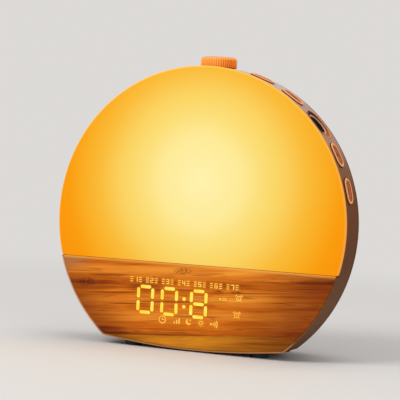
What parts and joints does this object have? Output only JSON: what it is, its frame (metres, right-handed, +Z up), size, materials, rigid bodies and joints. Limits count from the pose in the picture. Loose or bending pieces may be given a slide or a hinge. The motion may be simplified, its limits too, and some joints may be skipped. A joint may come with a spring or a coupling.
{
  "type": "sunrise alarm clock",
  "caption": "Round bedside lamp and clock: glowing lens over a wood panel with a lit display, keys on the band, a knob that turns and presses, a speaker grille at the back.",
  "frame": {"origin": "bottom centre of the clock: middle of its width and of its depth, on the surface that it stands on", "axes": "+Z up, +X to the right as seen from the front, +Y from the front towards the back"},
  "size_m": [0.18, 0.048, 0.1711],
  "materials": {
    "case_shell": "satin warm grey-brown paint",
    "lens": "frosted, lit from behind",
    "bamboo": "satin lacquer",
    "lit_marks": "translucent, lit from behind",
    "black_plastic": "fine grain",
    "white_plastic": "matt reflector white",
    "key_cap": "satin copper-brown",
    "key_black": "gloss",
    "board": "solder mask",
    "led": "gloss",
    "flex_film": "satin film",
    "steel": "brushed",
    "stem": "moulded",
    "magnet": "ground",
    "cone_paper": "coated",
    "foam": "matt",
    "rubber": "matt",
    "cable": "ribbon",
    "lead_red": "insulated"
  },
  "bodies": {
    "case": {"front_housing": "case_shell", "rear_cover": "case_shell", "lens": "lens", "wood_panel": "bamboo", "digit_1": "lit_marks", "digit_2": "lit_marks", "digit_3": "lit_marks", "colon": "lit_marks", "day_marks": "lit_marks", "half_day_mark": "lit_marks", "alarm_marks": "lit_marks", "mode_marks": "lit_marks", "display_mask": "black_plastic", "display_board": "board", "display_leds": "led", "display_screws": "steel", "reflector_pan": "white_plastic", "lamp_board": "white_plastic", "lamp_leds": "led", "pan_screws": "steel", "key_strip": "flex_film", "tact_switches": "black_plastic", "round_key_bezel": "key_cap", "encoder_body": "steel", "encoder_nut": "steel", "main_board": "board", "board_parts": "black_plastic", "board_screws": "steel", "power_socket": "black_plastic", "coin_holder": "black_plastic", "coin_cell": "steel", "speaker_basket": "black_plastic", "speaker_magnet": "magnet", "speaker_surround": "foam", "speaker_gasket": "foam", "speaker_screws": "steel", "display_cable": "cable", "lamp_cable": "cable", "key_cable": "flex_film", "encoder_cable": "cable", "speaker_leads": "lead_red", "case_screws": "steel", "feet": "rubber"},
    "knob_plunger": {"encoder_plunger": "black_plastic"},
    "knob": {"top_knob": "key_cap", "encoder_shaft": "steel"},
    "key_1": {"side_key_1": "key_cap", "tact_stem_1": "stem"},
    "key_2": {"side_key_2": "key_cap", "tact_stem_2": "stem"},
    "key_round": {"round_key": "key_black", "tact_stem_3": "stem"},
    "key_3": {"side_key_3": "key_cap", "tact_stem_4": "stem"},
    "key_4": {"side_key_4": "key_cap", "tact_stem_5": "stem"},
    "cone": {"speaker_cone": "cone_paper"}
  },
  "joints": [
    {"name": "knob_press", "type": "slide", "parent": "case", "child": "knob_plunger", "axis": [0, 0, -1], "range_m": [0, 0.0006], "stiffness_N_per_m": 1500, "springref_m": -0.001},
    {"name": "knob_turn", "type": "hinge", "parent": "knob_plunger", "child": "knob", "pos_m": [0, -0.0018, 0.168], "axis": [0, 0, 1], "continuous": true},
    {"name": "key_1_press", "type": "slide", "parent": "case", "child": "key_1", "axis": [-0.9681, 0, -0.2504], "range_m": [0, 0.0006], "stiffness_N_per_m": 1200, "springref_m": -0.0006},
    {"name": "key_2_press", "type": "slide", "parent": "case", "child": "key_2", "axis": [-0.8829, 0, -0.4695], "range_m": [0, 0.0006], "stiffness_N_per_m": 1200, "springref_m": -0.0006},
    {"name": "key_round_press", "type": "slide", "parent": "case", "child": "key_round", "axis": [-0.749, 0, -0.6626], "range_m": [0, 0.0006], "stiffness_N_per_m": 1200, "springref_m": -0.0006},
    {"name": "key_3_press", "type": "slide", "parent": "case", "child": "key_3", "axis": [-0.5736, 0, -0.8192], "range_m": [0, 0.0006], "stiffness_N_per_m": 1200, "springref_m": -0.0006},
    {"name": "key_4_press", "type": "slide", "parent": "case", "child": "key_4", "axis": [-0.3665, 0, -0.9304], "range_m": [0, 0.0006], "stiffness_N_per_m": 1200, "springref_m": -0.0006},
    {"name": "cone_travel", "type": "slide", "parent": "case", "child": "cone", "axis": [0, 1, 0], "range_m": [-0.0006, 0.0006], "stiffness_N_per_m": 1500}
  ]
}
